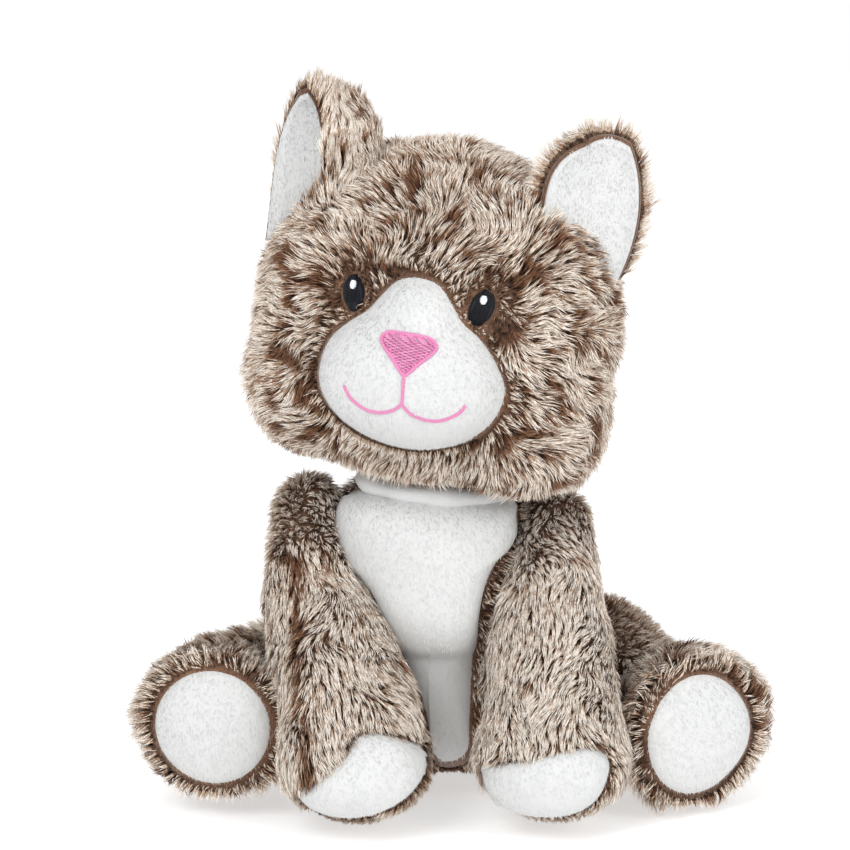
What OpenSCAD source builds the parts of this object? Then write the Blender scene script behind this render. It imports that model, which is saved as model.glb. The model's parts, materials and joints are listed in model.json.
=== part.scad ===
/* [Head] */
// Width of the head over its fur
head_width = 144; // [136:1:150]
// Depth of the head over its fur, front to back
head_depth = 122; // [114:1:126]
// Height of the head over its fur
head_height = 138; // [132:1:142]
// How far the head leans over to its left shoulder, in degrees
head_roll = 8; // [4:1:10]
// How far the face turns to the cat's right, in degrees
head_turn = 10; // [5:1:12]
// How far the muzzle stands out, from its own middle to its front
muzzle_depth = 31; // [27:1:33]

/* [Body] */
// Width of the chest over its fur
chest_width = 88; // [82:1:92]
// Width of the seat over its fur
seat_width = 114; // [106:1:118]
// Thickness of the fur fabric, with its pile lying down
fur = 6; // [5:0.5:7]
// Thickness of the short white plush
plush = 2.5; // [2:0.5:3]

/* [Limbs] */
// Radius of the arm at the shoulder
shoulder_r = 19; // [17:1:20]
// Radius of the arm above the paw
wrist_r = 26; // [24:1:27]
// Radius of the leg at the hip
hip_r = 29; // [27:1:30]
// Radius of the leg at the sole
ankle_r = 26; // [24:1:27]
// Length of the ear from its base to its tip
ear_height = 41; // [36:1:44]
// Thickness of the ear, both fabrics together
ear_t = 7; // [6:0.5:8]

/* [Hidden] */
ball_poles = [0, 90, 0];
gap = 0.6;          // room between two bodies
seam = 0.2;         // room between two pieces sewn together
reach = 400;        // larger than the whole cat
// Moves the whole cat so that the origin is under the middle of its box.
shift = [-1.5, -3.2, 0];

head_at = [-4, -14, 184];
head_semi = [head_width, head_depth, head_height] / 2;
head_back_at = [0, -4, 0];   // on the seam that runs over the head from ear to ear
head_back_tilt = -20;        // that seam leans forward at its top
muzzle_at = [0, -42, -18];
muzzle_semi = [36, muzzle_depth, 28];
brow_at = [0, -48, 4];       // the narrow top of the white patch, between the eyes
brow_semi = [17, 18, 17.5];
neck_at = [-4, -12, 120];
neck_r = 20;
neck_turns = [-25, 0, 25];
neck_nods = [0, 15];

// The torso's balls, from the seat up to the neck: [middle, half sizes].
spine = [
    [[-2, 18, 28], [seat_width / 2, 50, 44]],
    [[-3, 14, 48], [seat_width / 2 - 4, 48, 34]],
    [[-4, 4, 76], [chest_width / 2, 46, 32]],
    [[-4, -2, 96], [chest_width / 2 - 5, 38, 24]],
    [[-4, -8, 112], [25, 26, 14]]
];
chest_x = -4;
belly_half = 33;    // half the width of the white belly
pouch_at = [1, 16, 17];
pouch_semi = [20, 28, 11];

// A limb is [joint centre, joint radius, end centre, end radius].
arm_r = [[-52, -10, 103], shoulder_r, [-37, -57, 35], wrist_r];
arm_l = [[41, -10, 98], shoulder_r, [39, -55, 35], wrist_r];
paw_r = [-36, -66, 26];
paw_l = [37.5, -64, 26];
paw_semi = [31, 31, 26];
arm_seam = 8;       // how far the arm's long seam lies outside the wrist's middle
leg_r = [[-49, 26, 39], hip_r, [-93, -33, 30], ankle_r];
leg_l = [[51, 22, 41], hip_r, [96, -32, 31], ankle_r];
foot_flat = 7;      // how far the flat sole lies short of a full round end
sole_rim = 13;      // how far behind the full round end the sole's seam runs
arm_swings = [0, 25, 50];
tail = [[8, 70, 19], 12, [64, 94, 12], 9.5];
tail_pile = 4.5;
tail_seam_z = 15.5;
tail_wags = [-20, 0, 20];
label_size = [9, 0.8, 14];
label_at = [-30, 60.8, 12.5];

// The ear's base line, inner end to outer end, and its tip, on the cat's left.
ear_at = [55.3, -24, 38.5];
ear_facing = 41;    // the lining looks this far out from straight ahead
ear_outline = [[-18.5, 9], [18.5, -11], [14, ear_height - 1]];
ear_base_angle = atan2(-20, 37);
ear_fold_r = 7.5;

eye_at = [24.5, 11.5];
eye_semi = [4.8, 6.7];
nose_at = [1, -9];
smile_w = 1.3;
smile_r = 11;
smile_at = [11, -23.5];

brown = [0.60, 0.50, 0.42];
shade = [0.48, 0.38, 0.30];
white = [0.94, 0.94, 0.93];
fill = [0.98, 0.97, 0.92];

// An ellipsoid, with its half sizes. The sphere's poles are turned away from every seam.
module ball(centre, semi) {
    translate(centre) scale(semi) rotate(ball_poles) sphere(r = 1, $fn = 60);
}

// Everything on one side of a plane through a point, with a direction that points out of it.
module half_space(point, azimuth, tilt = 0) {
    translate(point)
        rotate([0, tilt, azimuth])
            translate([0, -reach / 2, -reach / 2])
                cube([reach, reach, reach]);
}

// Points of an arc about [0, z] in the plane of radius and height.
function arc(z, r, from, to, step) = [
    for (i = [0 : step]) let (a = from + (to - from) * i / step) [r * cos(a), z + r * sin(a)]
];

// A round-ended taper between two balls.
module taper(p, rp, q, rq) {
    d = q - p;
    far = norm(d);
    lean = asin((rp - rq) / far);
    translate(p)
        rotate([0, acos(d[2] / far), atan2(d[1], d[0])])
            rotate_extrude($fn = 72)
                polygon(concat(
                    [[0, -rp]],
                    [for (q1 = arc(0, rp, -80, lean, 9)) q1],
                    [for (q2 = arc(far, rq, lean, 80, 9)) q2],
                    [[0, far + rq]]
                ));
}

module limb(data, grow) {
    taper(data[0], data[1] + grow, data[2], data[3] + grow);
}

// Turns about a point.
module about(point, angles) {
    translate(point) rotate(angles) translate(-point) children();
}

// Puts what is drawn about the head's own middle in its place.
module on_head() {
    translate(head_at) rotate([0, head_roll, 0]) rotate([0, 0, -head_turn]) children();
}

module head_form(grow) {
    ball([0, 0, 0], head_semi + [grow, grow, grow]);
}

// The white patch swells over the muzzle and runs up in a narrow tongue between the eyes.
module muzzle_form(grow) {
    muzzle_ball(grow);
    brow_ball(grow);
}

module muzzle_ball(grow) {
    ball(muzzle_at, muzzle_semi + [grow, grow, grow]);
}

module brow_ball(grow) {
    ball(brow_at, brow_semi + [grow, grow, grow]);
}

module neck_form(grow) {
    translate(neck_at) sphere(r = neck_r + grow, $fn = 72);
}

// The round seam pocket that the base of one ear turns in.
module ear_pocket(side, r) {
    ear_place(side) rotate([0, 90 - ear_base_angle, 0]) cylinder(r = r, h = 52, center = true, $fn = 48);
}

module ear_place(side) {
    mirror([side < 0 ? 1 : 0, 0, 0]) translate(ear_at) rotate([0, 0, ear_facing]) children();
}

// The fur skin of the head. Hulls make it a fine mesh, which its seams cut cleanly.
module head_shell() {
    difference() {
        on_head() difference() {
            hull() head_form(0);
            hull() head_form(-fur);
            hull() muzzle_ball(seam);
            hull() brow_ball(seam);
            hull() ear_pocket(1, ear_fold_r);
            hull() ear_pocket(-1, ear_fold_r);
        }
        hull() neck_form(gap);
    }
}

// One half of the face, in front of the seam that runs from ear to ear.
module head_face(side) {
    color(brown) intersection() {
        head_shell();
        on_head() difference() {
            half_space([side * seam / 2, 0, 0], side > 0 ? 0 : 180);
            hull() half_space(head_back_at, 90, head_back_tilt);
        }
    }
}

module head_back() {
    color(shade) intersection() {
        head_shell();
        on_head() hull() half_space(head_back_at + [0, seam, 0], 90, head_back_tilt);
    }
}

module head_stuffing() {
    color(fill) difference() {
        on_head() union() {
            head_form(-fur - seam);
            intersection() {
                muzzle_form(-plush - seam);
                half_space([0, -30, 0], -90);
            }
        }
        neck_form(gap);
    }
}

module muzzle_panel() {
    color(white) on_head() difference() {
        muzzle_form(0);
        muzzle_form(-plush);
        head_form(-fur);
    }
}

// A thin patch of thread on the front of a form, cut out by the shape given.
module patch(raise, thick) {
    on_head() intersection() {
        translate([0, muzzle_at[1], 0])
            rotate([90, 0, 0]) linear_extrude(height = reach / 2) children();
        if (raise == "muzzle") {
            difference() {
                muzzle_form(seam + thick);
                muzzle_form(seam);
            }
        } else {
            difference() {
                head_form(seam + thick);
                head_form(seam);
            }
        }
    }
}

module nose_embroidery() {
    color([0.86, 0.52, 0.70]) patch("muzzle", 1.2)
        translate(nose_at) polygon([
            [-10, 6], [-8.5, 8.2], [0, 9], [8.5, 8.2], [10, 6], [7, 1], [1.2, -6.5], [-1.2, -6.5], [-7, 1]
        ]);
}

// One side of the smile: part of a ring, below its middle.
module smile(side) {
    translate([nose_at[0] + side * smile_at[0], smile_at[1]]) difference() {
        circle(r = smile_r, $fn = 72);
        circle(r = smile_r - smile_w, $fn = 72);
        translate([-smile_r * 2, -5]) square([smile_r * 4, smile_r * 4]);
    }
}

module mouth_embroidery() {
    color([0.86, 0.55, 0.70]) patch("muzzle", 0.8) union() {
        smile(1);
        smile(-1);
        translate([nose_at[0] - smile_w / 2, -29.5]) square([smile_w, 13.5]);
        translate([nose_at[0] - 2, -29.8]) square([4, smile_w]);
    }
}

module eye(side) {
    color([0.09, 0.10, 0.13]) patch("head", 1)
        difference() {
            translate([side * eye_at[0], eye_at[1]]) scale(eye_semi) circle(r = 1, $fn = 48);
            translate(glint_at(side)) circle(r = 1.7, $fn = 32);
        }
}

function glint_at(side) = [side * eye_at[0], eye_at[1] + 3];

module eye_glint(side) {
    color("white") patch("head", 1.1)
        translate(glint_at(side)) circle(r = 1.5, $fn = 32);
}

// The flat outline of an ear, with round corners.
module ear_shape(grow) {
    hull() {
        for (p = ear_outline) {
            translate(p) circle(r = 3.5 + grow, $fn = 32);
        }
    }
}

// A sheet of ear between two depths; the lining side is at negative depth.
module ear_sheet(side, from, to, grow) {
    on_head() ear_place(side) translate([0, to, 0])
        rotate([90, 0, 0]) linear_extrude(height = to - from) ear_shape(grow);
}

module ear_back(side) {
    color(brown) ear_sheet(side, -ear_t / 2 + plush + seam, ear_t / 2, 0);
}

module ear_lining(side) {
    color(white) ear_sheet(side, -ear_t / 2, -ear_t / 2 + plush, -1.5);
}

module neck_stuffing() {
    color(fill) neck_form(0);
}

module spine_ball(b, grow) {
    translate(b[0]) scale(b[1] + [grow, grow, grow]) sphere(r = 1, $fn = 36);
}

// The torso's rounded form: each ball runs smoothly into the next.
module torso_form(grow) {
    for (i = [0 : len(spine) - 2]) {
        hull() {
            spine_ball(spine[i], grow);
            spine_ball(spine[i + 1], grow);
        }
    }
}

// A limb as the torso leaves room for it.
module limb_room(data, grow) {
    hull() {
        translate(data[0]) sphere(r = data[1] + grow, $fn = 36);
        translate(data[2]) sphere(r = data[3] + grow, $fn = 36);
    }
}

// Everything that the torso leaves room for as the head, arms, legs and tail move.
module torso_relief() {
    for (turn = neck_turns, nod = neck_nods) {
        about(neck_at, [-nod, 0, turn]) on_head()
            scale(head_semi + [gap, gap, gap]) sphere(r = 1, $fn = 48);
    }
    translate(neck_at) sphere(r = neck_r + 2 * gap, $fn = 36);
    for (swing = arm_swings) {
        about(arm_r[0], [-swing, 0, 0]) limb_room(arm_r, 3 * gap);
        about(arm_l[0], [-swing, 0, 0]) limb_room(arm_l, 3 * gap);
    }
    limb_room(leg_r, 2 * gap);
    limb_room(leg_l, 2 * gap);
    hull() {
        for (wag = tail_wags) {
            about(tail[0], [0, 0, wag]) limb_room(tail, 2 * gap);
        }
    }
    translate([-reach / 2, -reach / 2, -reach]) cube([reach, reach, reach]);
}

module torso_shell() {
    difference() {
        torso_form(0);
        torso_form(-fur);
        torso_relief();
        translate([-reach / 2, -reach / 2, 0]) cube([reach, reach, fur]);
    }
}

// The space in front, between the arms, that the white belly fills.
module belly_zone(grow) {
    translate([chest_x - belly_half - grow, -reach / 2, 0])
        cube([2 * (belly_half + grow), reach / 2 - 8, reach]);
}

module torso_side(side) {
    color(brown) intersection() {
        torso_shell();
        difference() {
            half_space([chest_x + side * seam / 2, 0, 0], side > 0 ? 0 : 180);
            belly_zone(seam);
        }
    }
}

module belly_panel() {
    color(white) intersection() {
        torso_shell();
        belly_zone(0);
    }
}

module seat_panel() {
    color(shade) intersection() {
        difference() {
            torso_form(0);
            torso_relief();
        }
        translate([-reach / 2, -reach / 2, 0]) cube([reach, reach, fur - seam]);
    }
}

module torso_stuffing() {
    color(fill) difference() {
        torso_form(-fur - seam);
        torso_relief();
        translate(pouch_at) scale(pouch_semi + 2 * [seam, seam, seam]) sphere(r = 1, $fn = 36);
        translate([-reach / 2, -reach / 2, 0]) cube([reach, reach, fur + seam]);
    }
}

module bean_pouch() {
    color([0.80, 0.80, 0.76]) ball(pouch_at, pouch_semi);
}

module arm_form(data, paw, grow) {
    limb(data, grow);
    ball(paw, paw_semi + [grow, grow, grow]);
}

// The front of the paw, where the white toe patch is let in.
module toe_zone(paw, grow) {
    half_space(paw + [0, -15.5 + grow, -4], -90, -20);
}

// One fabric half of an arm, outside or inside the seam that runs down its front.
module arm_half(data, paw, side, outer) {
    at = data[2] + [side * arm_seam + (outer ? 1 : -1) * side * seam / 2, 0, 0];
    color(brown) difference() {
        intersection() {
            difference() {
                arm_form(data, paw, 0);
                arm_form(data, paw, -fur);
            }
            half_space(at, (side > 0) == outer ? 0 : 180);
        }
        toe_zone(paw, seam);
    }
}

module toe_panel(data, paw) {
    color(white) intersection() {
        difference() {
            arm_form(data, paw, 0);
            arm_form(data, paw, -fur);
        }
        toe_zone(paw, 0);
    }
}

module arm_stuffing(data, paw) {
    color(fill) arm_form(data, paw, -fur - seam);
}

function heading(data) = atan2(data[2][1] - data[0][1], data[2][0] - data[0][0]);

// Everything beyond an upright plane across the foot, so far from the middle of its end.
module beyond_foot(data, far) {
    half_space(data[2] + far * [cos(heading(data)), sin(heading(data)), 0], heading(data));
}

module leg_form(data, grow) {
    difference() {
        limb(data, grow);
        beyond_foot(data, ankle_r - foot_flat + grow);
    }
}

// One side of the upright plane along a leg, clear of the seam in that plane.
module leg_side(data, turn) {
    aside = heading(data) + turn;
    half_space(data[0] + seam / 2 * [cos(aside), sin(aside), 0], aside);
}

// One fabric half of a leg, outside or inside the seam along its top and bottom.
module leg_half(data, side, outer) {
    color(outer ? brown : shade) difference() {
        intersection() {
            difference() {
                leg_form(data, 0);
                leg_form(data, -fur);
            }
            leg_side(data, (side > 0) == outer ? 90 : -90);
        }
        beyond_foot(data, ankle_r - sole_rim - seam);
    }
}

module sole(data) {
    color(white) intersection() {
        difference() {
            leg_form(data, 0);
            leg_form(data, -fur);
        }
        beyond_foot(data, ankle_r - sole_rim);
    }
}

module leg_stuffing(data) {
    color(fill) leg_form(data, -fur - seam);
}

// The tail's fabric above or below the level seam along its sides.
module tail_half(upper) {
    color(upper ? brown : shade) intersection() {
        difference() {
            limb(tail, 0);
            limb(tail, -tail_pile);
        }
        translate([-reach / 2, -reach / 2, upper ? tail_seam_z + seam : tail_seam_z - reach])
            cube([reach, reach, reach]);
    }
}

module tail_stuffing() {
    color(fill) limb(tail, -tail_pile - seam);
}

// A small blank tab, hanging from the seam at the back of the seat.
module care_label() {
    color("white") translate(label_at) rotate([0, 0, 26])
        translate([-label_size[0] / 2, 0, 0]) cube(label_size);
}

module place() {
    translate(shift) children();
}

place() head_face(-1);  // head_face_right
place() head_face(1);  // head_face_left
place() head_back();
place() head_stuffing();
place() muzzle_panel();
place() nose_embroidery();
place() mouth_embroidery();
place() eye(-1);  // right_eye
place() eye(1);  // left_eye
place() eye_glint(-1);  // right_eye_glint
place() eye_glint(1);  // left_eye_glint
place() ear_back(-1);  // right_ear_back
place() ear_lining(-1);  // right_ear_lining
place() ear_back(1);  // left_ear_back
place() ear_lining(1);  // left_ear_lining
place() neck_stuffing();
place() torso_side(-1);  // torso_right_side
place() torso_side(1);  // torso_left_side
place() belly_panel();
place() seat_panel();
place() torso_stuffing();
place() bean_pouch();
place() arm_half(arm_r, paw_r, -1, true);  // right_arm_outer
place() arm_half(arm_r, paw_r, -1, false);  // right_arm_inner
place() toe_panel(arm_r, paw_r);  // right_toe_panel
place() arm_stuffing(arm_r, paw_r);  // right_arm_stuffing
place() arm_half(arm_l, paw_l, 1, true);  // left_arm_outer
place() arm_half(arm_l, paw_l, 1, false);  // left_arm_inner
place() toe_panel(arm_l, paw_l);  // left_toe_panel
place() arm_stuffing(arm_l, paw_l);  // left_arm_stuffing
place() leg_half(leg_r, -1, true);  // right_leg_outer
place() leg_half(leg_r, -1, false);  // right_leg_inner
place() sole(leg_r);  // right_sole
place() leg_stuffing(leg_r);  // right_leg_stuffing
place() leg_half(leg_l, 1, true);  // left_leg_outer
place() leg_half(leg_l, 1, false);  // left_leg_inner
place() sole(leg_l);  // left_sole
place() leg_stuffing(leg_l);  // left_leg_stuffing
place() tail_half(true);  // tail_upper
place() tail_half(false);  // tail_under
place() tail_stuffing();
place() care_label();
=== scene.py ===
"""Looks of the sitting plush cat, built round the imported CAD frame.

Lengths are in millimetres while a shape is worked out, and in metres once it is a mesh.
"""

import json
import math

import bmesh
import bpy
import numpy as np
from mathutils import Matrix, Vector
from mathutils.bvhtree import BVHTree


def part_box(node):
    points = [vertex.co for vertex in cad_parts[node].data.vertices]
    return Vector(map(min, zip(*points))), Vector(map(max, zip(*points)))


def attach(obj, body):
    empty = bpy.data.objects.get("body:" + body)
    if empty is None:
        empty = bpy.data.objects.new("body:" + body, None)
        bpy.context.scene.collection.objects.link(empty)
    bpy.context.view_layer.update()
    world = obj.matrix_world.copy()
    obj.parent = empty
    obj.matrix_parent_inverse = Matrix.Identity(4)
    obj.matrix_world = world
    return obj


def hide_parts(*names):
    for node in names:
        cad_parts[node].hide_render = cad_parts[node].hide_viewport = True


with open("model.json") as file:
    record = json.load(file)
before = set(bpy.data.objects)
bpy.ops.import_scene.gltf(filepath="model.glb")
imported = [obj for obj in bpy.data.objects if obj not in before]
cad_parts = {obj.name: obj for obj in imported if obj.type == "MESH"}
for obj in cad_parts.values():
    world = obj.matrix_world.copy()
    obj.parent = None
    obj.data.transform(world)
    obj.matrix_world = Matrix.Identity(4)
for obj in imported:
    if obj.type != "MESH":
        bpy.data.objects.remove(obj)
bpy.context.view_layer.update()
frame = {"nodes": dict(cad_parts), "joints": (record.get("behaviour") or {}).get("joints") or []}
MM = 0.001
JOINT = {j["name"]: np.array(j["pos_m"]) / MM for j in frame["joints"]}

# Shapes are drawn about a neck at this place, then moved with the CAD neck.
DRAWN_NECK = np.array((-4.0, -12.0, 120.0))
SHIFT = JOINT["neck_turn"] - DRAWN_NECK
HEAD_AT = np.array((-4.0, -14.0, 184.0))
HEAD_ROLL, HEAD_TURN = 8, -10
FLOOR_CLEAR = 0.35


def unit(v):
    return v / np.maximum(np.linalg.norm(v, axis=-1, keepdims=True), 1e-9)


def turn_matrix(axis, degrees):
    c, s = math.cos(math.radians(degrees)), math.sin(math.radians(degrees))
    return np.array({
        "x": ((1, 0, 0), (0, c, -s), (0, s, c)),
        "y": ((c, 0, s), (0, 1, 0), (-s, 0, c)),
        "z": ((c, -s, 0), (s, c, 0), (0, 0, 1)),
    }[axis], float)


HEAD_R = turn_matrix("y", HEAD_ROLL) @ turn_matrix("z", HEAD_TURN)


def on_head(p):
    """From the head's own frame to the drawing's."""
    return np.asarray(p, float) @ HEAD_R.T + HEAD_AT


def in_head(p):
    return (p - HEAD_AT) @ HEAD_R


# ---------------------------------------------------------------- noise

LATTICE = 32
TABLE = np.random.default_rng(11).uniform(0, 1, (LATTICE, LATTICE, LATTICE, 6))


def noise(p, size, seed=0):
    """Smooth noise from -1 to 1, with features of about that size."""
    q = p / size + seed * 5.37
    cell = np.floor(q).astype(int)
    f = q - cell
    f = f * f * (3 - 2 * f)
    out = np.zeros(len(p))
    for corner in np.ndindex(2, 2, 2):
        at = (cell + corner) % LATTICE
        weight = np.prod(np.where(corner, f, 1 - f), axis=1)
        out += weight * TABLE[at[:, 0], at[:, 1], at[:, 2], seed % 6]
    return np.clip((out - 0.5) * 3, -1, 1)


def tufts(p, size):
    """For each point, the way to its tuft's middle and three numbers that its tuft shares."""
    q = p / size
    base = np.floor(q).astype(int)
    best = np.full(len(p), 1e9)
    way = np.zeros_like(p)
    shared = np.zeros_like(p)
    for step in np.ndindex(3, 3, 3):
        cell = base + np.array(step) - 1
        at = cell % LATTICE
        values = TABLE[at[:, 0], at[:, 1], at[:, 2]]
        middle = cell + values[:, :3]
        far = np.sum((middle - q) ** 2, axis=1)
        nearer = far < best
        best[nearer] = far[nearer]
        way[nearer] = (middle - q)[nearer] * size
        shared[nearer] = values[nearer, 3:]
    return way, shared


# ---------------------------------------------------------------- materials

def linear(r, g, b):
    return tuple(((c / 255 + 0.055) / 1.055) ** 2.4 if c > 10 else c / 255 / 12.92 for c in (r, g, b)) + (1,)


def plain(name, rgb, rough=0.75, sheen=0.0):
    """One tone of thread or pile. A piece of pile mixes many of them."""
    m = bpy.data.materials.new(name)
    m.use_nodes = True
    p = m.node_tree.nodes["Principled BSDF"]
    p.inputs["Base Color"].default_value = linear(*rgb)
    p.inputs["Roughness"].default_value = rough
    p.inputs["Specular IOR Level"].default_value = 0.2
    p.inputs["Sheen Weight"].default_value = sheen
    p.inputs["Sheen Roughness"].default_value = 0.5
    return m


def cloth(name, dark, light, size=900, bump=0.3, rough=0.85, sheen=0.3, weave=False):
    """Procedural fabric: two tones mixed by noise, with a pile or weave bump."""
    m = bpy.data.materials.new(name)
    m.use_nodes = True
    t = m.node_tree
    p = t.nodes["Principled BSDF"]
    coords = t.nodes.new("ShaderNodeTexCoord")
    fine = t.nodes.new("ShaderNodeTexNoise")
    fine.inputs["Scale"].default_value = size
    fine.inputs["Detail"].default_value = 4
    t.links.new(coords.outputs["Object"], fine.inputs["Vector"])
    soft = t.nodes.new("ShaderNodeTexNoise")
    soft.inputs["Scale"].default_value = 45
    t.links.new(coords.outputs["Object"], soft.inputs["Vector"])
    both = t.nodes.new("ShaderNodeMath")
    both.operation = "MULTIPLY_ADD"
    both.inputs[1].default_value = 0.5
    t.links.new(fine.outputs["Fac"], both.inputs[0])
    half = t.nodes.new("ShaderNodeMath")
    half.operation = "MULTIPLY"
    half.inputs[1].default_value = 0.5
    t.links.new(soft.outputs["Fac"], half.inputs[0])
    t.links.new(half.outputs[0], both.inputs[2])
    ramp = t.nodes.new("ShaderNodeValToRGB")
    ramp.color_ramp.elements[0].position = 0.35
    ramp.color_ramp.elements[0].color = linear(*dark)
    ramp.color_ramp.elements[1].position = 0.65
    ramp.color_ramp.elements[1].color = linear(*light)
    t.links.new(both.outputs[0], ramp.inputs["Fac"])
    t.links.new(ramp.outputs["Color"], p.inputs["Base Color"])
    height = fine.outputs["Fac"]
    if weave:
        wave = t.nodes.new("ShaderNodeTexWave")
        wave.inputs["Scale"].default_value = 400
        wave.inputs["Distortion"].default_value = 1.5
        t.links.new(coords.outputs["Object"], wave.inputs["Vector"])
        height = wave.outputs["Fac"]
    b = t.nodes.new("ShaderNodeBump")
    b.inputs["Strength"].default_value = bump
    b.inputs["Distance"].default_value = 0.0006
    t.links.new(height, b.inputs["Height"])
    t.links.new(b.outputs["Normal"], p.inputs["Normal"])
    p.inputs["Roughness"].default_value = rough
    p.inputs["Sheen Weight"].default_value = sheen
    p.inputs["Sheen Roughness"].default_value = 0.5
    p.inputs["Specular IOR Level"].default_value = 0.2
    return m


# Each shade of fur, from its root to its tip.
FUR_TONES = (
    ((52, 32, 23), (92, 58, 38), (126, 88, 62)),
    ((66, 43, 31), (140, 102, 76), (196, 172, 150)),
    ((86, 61, 46), (172, 142, 118), (224, 209, 194)),
    ((104, 80, 64), (200, 178, 158), (240, 231, 220)),
)
FUR = [plain(f"fur_{i}_{part}", tone[part], 0.7, 0.15)
       for i, tone in enumerate(FUR_TONES) for part in range(3)]
WHITE_PILE = [plain("white_pile_a", (216, 217, 216), 0.9, 0.05),
              plain("white_pile_b", (212, 213, 213), 0.9, 0.05)]
BACKING = cloth("fur_backing", (84, 58, 43), (132, 98, 75), weave=True)
WHITE = cloth("white_plush", (208, 209, 209), (216, 217, 216), size=1400, bump=0.25, sheen=0.05)
PINK = [plain("pink_thread_a", (231, 150, 193), 0.4, 0.2),
        plain("pink_thread_b", (218, 132, 178), 0.45, 0.2)]
BLACK = [plain("black_thread_a", (27, 29, 38), 0.38, 0.1),
         plain("black_thread_b", (16, 17, 23), 0.42, 0.1)]
GLINT = [plain("white_thread_a", (245, 246, 250), 0.4, 0.2),
         plain("white_thread_b", (228, 230, 238), 0.4, 0.2)]
FIBRE = cloth("polyester_fibre", (226, 224, 214), (248, 247, 240), size=300, bump=0.8)
POUCH = cloth("pouch_cloth", (170, 170, 160), (206, 206, 196), weave=True)
RIBBON = cloth("label_ribbon", (232, 232, 232), (248, 248, 248), size=1500, weave=True, bump=0.2)


# ---------------------------------------------------------------- meshes

def mesh_object(name, verts, faces, materials, smooth=True):
    """A mesh from points in the drawing, in millimetres."""
    me = bpy.data.meshes.new(name)
    me.from_pydata(((verts + SHIFT) * MM).tolist(), [], [tuple(f) for f in faces])
    me.polygons.foreach_set("use_smooth", np.full(len(me.polygons), smooth))
    for m in materials:
        me.materials.append(m)
    me.update()
    o = bpy.data.objects.new(name, me)
    bpy.context.scene.collection.objects.link(o)
    return o


def face_outward(o):
    bm = bmesh.new()
    bm.from_mesh(o.data)
    bmesh.ops.recalc_face_normals(bm, faces=bm.faces)
    bm.to_mesh(o.data)
    bm.free()
    return o


def settle(o):
    """Makes what the modifiers do permanent."""
    dg = bpy.context.evaluated_depsgraph_get()
    done = bpy.data.meshes.new_from_object(o.evaluated_get(dg))
    o.modifiers.clear()
    old = o.data
    o.data = done
    bpy.data.meshes.remove(old)
    return o


def ball(centre, semi, turned=None):
    """Points on an ellipsoid."""
    bm = bmesh.new()
    bmesh.ops.create_icosphere(bm, subdivisions=3, radius=1)
    p = np.array([v.co for v in bm.verts])
    bm.free()
    p = p * (np.ones(3) * semi)
    if turned is not None:
        p = p @ turned.T
    return p + np.asarray(centre, float)


def fuse(name, parts, material, voxel=4.0, smooth=5):
    """One closed skin round all the parts. A part is the hull of its points."""
    bm = bmesh.new()
    for points in parts:
        own = bmesh.new()
        for p in points:
            own.verts.new(p)
        bmesh.ops.convex_hull(own, input=own.verts[:])
        bmesh.ops.delete(own, geom=[v for v in own.verts if not v.link_faces], context="VERTS")
        piece = bpy.data.meshes.new("part")
        own.to_mesh(piece)
        own.free()
        bm.from_mesh(piece)
        bpy.data.meshes.remove(piece)
    verts = np.array([v.co for v in bm.verts])
    bm.verts.index_update()
    faces = [[v.index for v in f.verts] for f in bm.faces]
    bm.free()
    o = mesh_object(name, verts, faces, [material])
    re = o.modifiers.new("remesh", "REMESH")
    re.mode = "VOXEL"
    re.voxel_size = voxel * MM
    soft = o.modifiers.new("soften", "SMOOTH")
    soft.factor = 0.5
    soft.iterations = smooth
    settle(o)
    o.data.materials.clear()
    o.data.materials.append(material)
    return o


CLOTH_FRAMES, CLOTH_MASS, PRESSURE = 20, 0.02, 4
PUFF_LIMIT = 2.5


def coordinates(o):
    co = np.zeros(len(o.data.vertices) * 3)
    o.data.vertices.foreach_get("co", co)
    return co.reshape(-1, 3) / MM - SHIFT


def inflate(o, held):
    """Puts pressure in a skin that is held at its seams, then subdivides it.

    The pressure moves it by well under a millimetre: its round shape is that of the fused parts.
    """
    start = coordinates(o)
    group = o.vertex_groups.new(name="held")
    group.add([int(i) for i in np.flatnonzero(held(start))], 1.0, "REPLACE")
    c = o.modifiers.new("cloth", "CLOTH")
    c.settings.use_pressure = True
    c.settings.uniform_pressure_force = PRESSURE
    c.settings.vertex_group_mass = "held"
    c.settings.effector_weights.gravity = 0
    c.settings.mass = CLOTH_MASS
    c.settings.quality = 4
    c.point_cache.frame_start = 1
    c.point_cache.frame_end = CLOTH_FRAMES
    for f in range(1, CLOTH_FRAMES + 1):
        bpy.context.scene.frame_set(f)
    settle(o)
    bpy.context.scene.frame_set(1)
    moved = coordinates(o) - start
    far = np.linalg.norm(moved, axis=1, keepdims=True)
    print("inflated", o.name, "moved", round(float(far.mean()), 3), round(float(far.max()), 3))
    moved *= np.minimum(1, PUFF_LIMIT / np.maximum(far, 1e-6))
    o.data.vertices.foreach_set("co", ((start + moved + SHIFT) * MM).ravel())
    sub = o.modifiers.new("subdivide", "SUBSURF")
    sub.levels = 1
    settle(o)
    o.data.polygons.foreach_set("use_smooth", np.ones(len(o.data.polygons), bool))
    return o


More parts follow.
